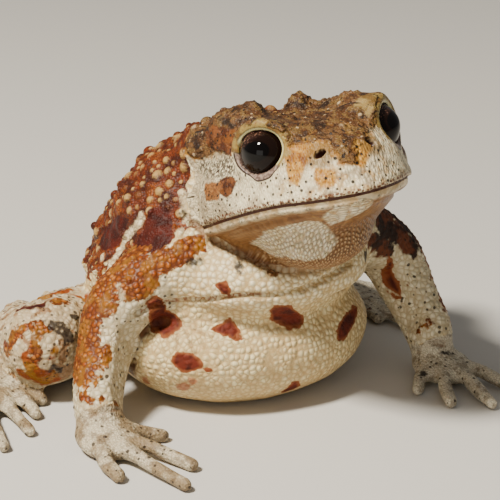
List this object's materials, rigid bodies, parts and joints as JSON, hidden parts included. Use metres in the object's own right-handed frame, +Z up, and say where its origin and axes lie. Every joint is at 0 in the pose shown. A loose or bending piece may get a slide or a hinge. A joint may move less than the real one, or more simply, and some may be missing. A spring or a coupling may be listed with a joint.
{
  "type": "miyako toad",
  "caption": "Life-size model of a miyako toad sitting upright on its forelegs with its head raised and its hind legs folded beside its belly.",
  "frame": {"origin": "on the floor, under the middle of the animal's bounding box", "axes": "+Z up, -Y the way the animal sits facing, +X to the animal's left"},
  "size_m": [0.095, 0.0797, 0.0536],
  "materials": {
    "head": "matte, warty skin with a slight sheen",
    "torso": "matte, granular skin with a slight sheen",
    "forelegs": "matte, granular skin",
    "hind_legs": "matte, granular skin",
    "hands_and_feet": "matte skin",
    "eyes": "wet gloss"
  },
  "bodies": {
    "root": {"head": "head", "torso": "torso", "eye_left": "eyes", "eye_right": "eyes", "upper_arm_left": "forelegs", "upper_arm_right": "forelegs", "forearm_left": "forelegs", "forearm_right": "forelegs", "hand_left": "hands_and_feet", "hand_right": "hands_and_feet", "thigh_left": "hind_legs", "thigh_right": "hind_legs", "shank_left": "hind_legs", "shank_right": "hind_legs", "foot_left": "hands_and_feet", "foot_right": "hands_and_feet"}
  },
  "joints": []
}
